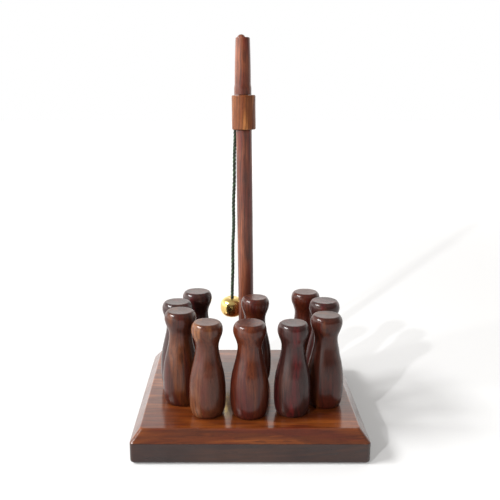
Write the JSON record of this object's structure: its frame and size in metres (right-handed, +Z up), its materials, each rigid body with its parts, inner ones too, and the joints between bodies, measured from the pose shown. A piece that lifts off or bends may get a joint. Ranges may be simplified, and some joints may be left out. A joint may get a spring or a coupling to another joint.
{
  "type": "tabletop skittles set",
  "caption": "Desktop skittles game: turned wooden pins stand loose on a chamfered board, and a brass ball swings on a cord from a collar that turns round a pole.",
  "frame": {"origin": "middle of the board, on the surface that the set stands on", "axes": "+Z up the pole, -Y towards the front row of pins, +X to the right seen from the front"},
  "size_m": [0.15, 0.15, 0.2652],
  "materials": {
    "board_wood": "glossy lacquer, grain from side to side",
    "baize": "matt pressed wool",
    "pole_wood": "satin lacquer, grain along the pole",
    "screw_steel": "zinc-plated",
    "collar_wood": "satin lacquer, paler wood",
    "cord_fibre": "twisted dark green and black cotton",
    "ball_brass": "polished",
    "pin_wood": "polished dark rosewood, turned"
  },
  "bodies": {
    "stand": {"base_board": "board_wood", "felt_pad": "baize", "pole": "pole_wood", "pole_top": "pole_wood", "pole_screw": "screw_steel"},
    "collar": {"collar": "collar_wood", "cord_end": "cord_fibre"},
    "pendulum": {"cord": "cord_fibre", "ball": "ball_brass", "ball_knot": "cord_fibre"},
    "pin_1": {"pin_1": "pin_wood"},
    "pin_2": {"pin_2": "pin_wood"},
    "pin_3": {"pin_3": "pin_wood"},
    "pin_4": {"pin_4": "pin_wood"},
    "pin_5": {"pin_5": "pin_wood"},
    "pin_6": {"pin_6": "pin_wood"},
    "pin_7": {"pin_7": "pin_wood"},
    "pin_8": {"pin_8": "pin_wood"},
    "pin_9": {"pin_9": "pin_wood"},
    "pin_10": {"pin_10": "pin_wood"}
  },
  "joints": [
    {"name": "collar_turn", "type": "hinge", "parent": "stand", "child": "collar", "pos_m": [0, 0.045, 0.0216], "axis": [-0.0157, 0, 0.9999], "continuous": true},
    {"name": "ball_swing", "type": "hinge", "parent": "collar", "child": "pendulum", "pos_m": [-0.00923, 0.048, 0.19808], "axis": [0.6682, 0.7439, 0], "range_deg": [0, 75]},
    {"name": "pin_1_lift", "type": "slide", "parent": "stand", "child": "pin_1", "axis": [0, 0, 1], "range_m": [0, 0.09]},
    {"name": "pin_2_lift", "type": "slide", "parent": "stand", "child": "pin_2", "axis": [0, 0, 1], "range_m": [0, 0.09]},
    {"name": "pin_3_lift", "type": "slide", "parent": "stand", "child": "pin_3", "axis": [0, 0, 1], "range_m": [0, 0.09]},
    {"name": "pin_4_lift", "type": "slide", "parent": "stand", "child": "pin_4", "axis": [0, 0, 1], "range_m": [0, 0.09]},
    {"name": "pin_5_lift", "type": "slide", "parent": "stand", "child": "pin_5", "axis": [0, 0, 1], "range_m": [0, 0.09]},
    {"name": "pin_6_lift", "type": "slide", "parent": "stand", "child": "pin_6", "axis": [0, 0, 1], "range_m": [0, 0.09]},
    {"name": "pin_7_lift", "type": "slide", "parent": "stand", "child": "pin_7", "axis": [0, 0, 1], "range_m": [0, 0.09]},
    {"name": "pin_8_lift", "type": "slide", "parent": "stand", "child": "pin_8", "axis": [0, 0, 1], "range_m": [0, 0.09]},
    {"name": "pin_9_lift", "type": "slide", "parent": "stand", "child": "pin_9", "axis": [0, 0, 1], "range_m": [0, 0.09]},
    {"name": "pin_10_lift", "type": "slide", "parent": "stand", "child": "pin_10", "axis": [0, 0, 1], "range_m": [0, 0.09]}
  ]
}
